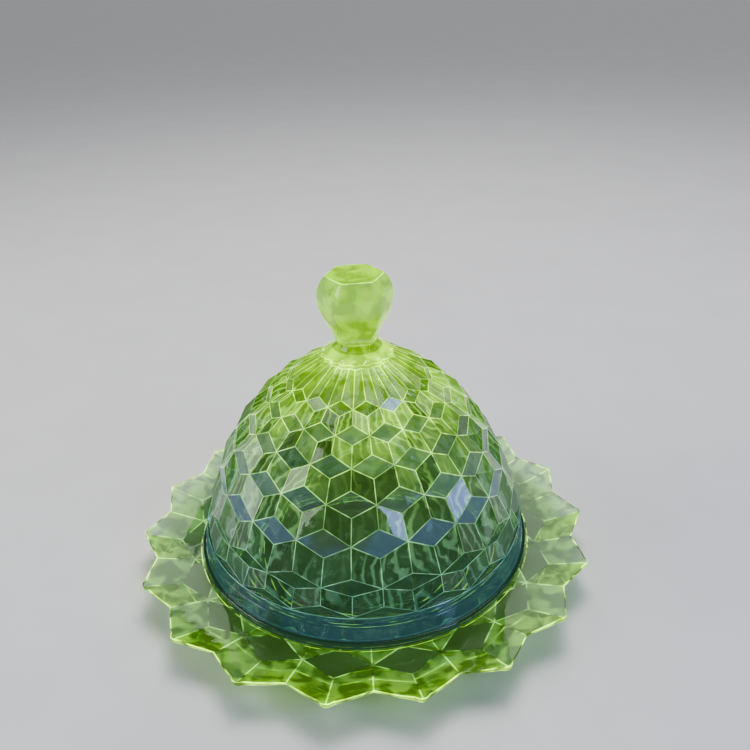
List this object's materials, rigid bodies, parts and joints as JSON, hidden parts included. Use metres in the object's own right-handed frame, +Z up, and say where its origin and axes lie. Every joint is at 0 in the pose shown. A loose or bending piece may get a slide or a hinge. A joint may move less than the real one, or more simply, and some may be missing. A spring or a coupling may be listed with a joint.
{
  "type": "covered butter dish",
  "caption": "Round pressed-glass butter dish: a zigzag-edged plate under a lift-off domed cover with a faceted knob, patterned with rows of stacked cubes.",
  "frame": {"origin": "middle of the plate's foot, on the surface that the dish stands on", "axes": "+Z up along the dish's axis of symmetry, -Y towards the front, where a notch of the rim faces"},
  "size_m": [0.184, 0.1812, 0.1246],
  "materials": {
    "uranium_glass": "fire-polished pressed glass, clear yellow-green"
  },
  "bodies": {
    "plate": {"plate": "uranium_glass"},
    "cover": {"cover": "uranium_glass"}
  },
  "joints": [
    {"name": "cover_lift", "type": "slide", "parent": "plate", "child": "cover", "axis": [0, 0, 1], "range_m": [0, 0.15]}
  ]
}
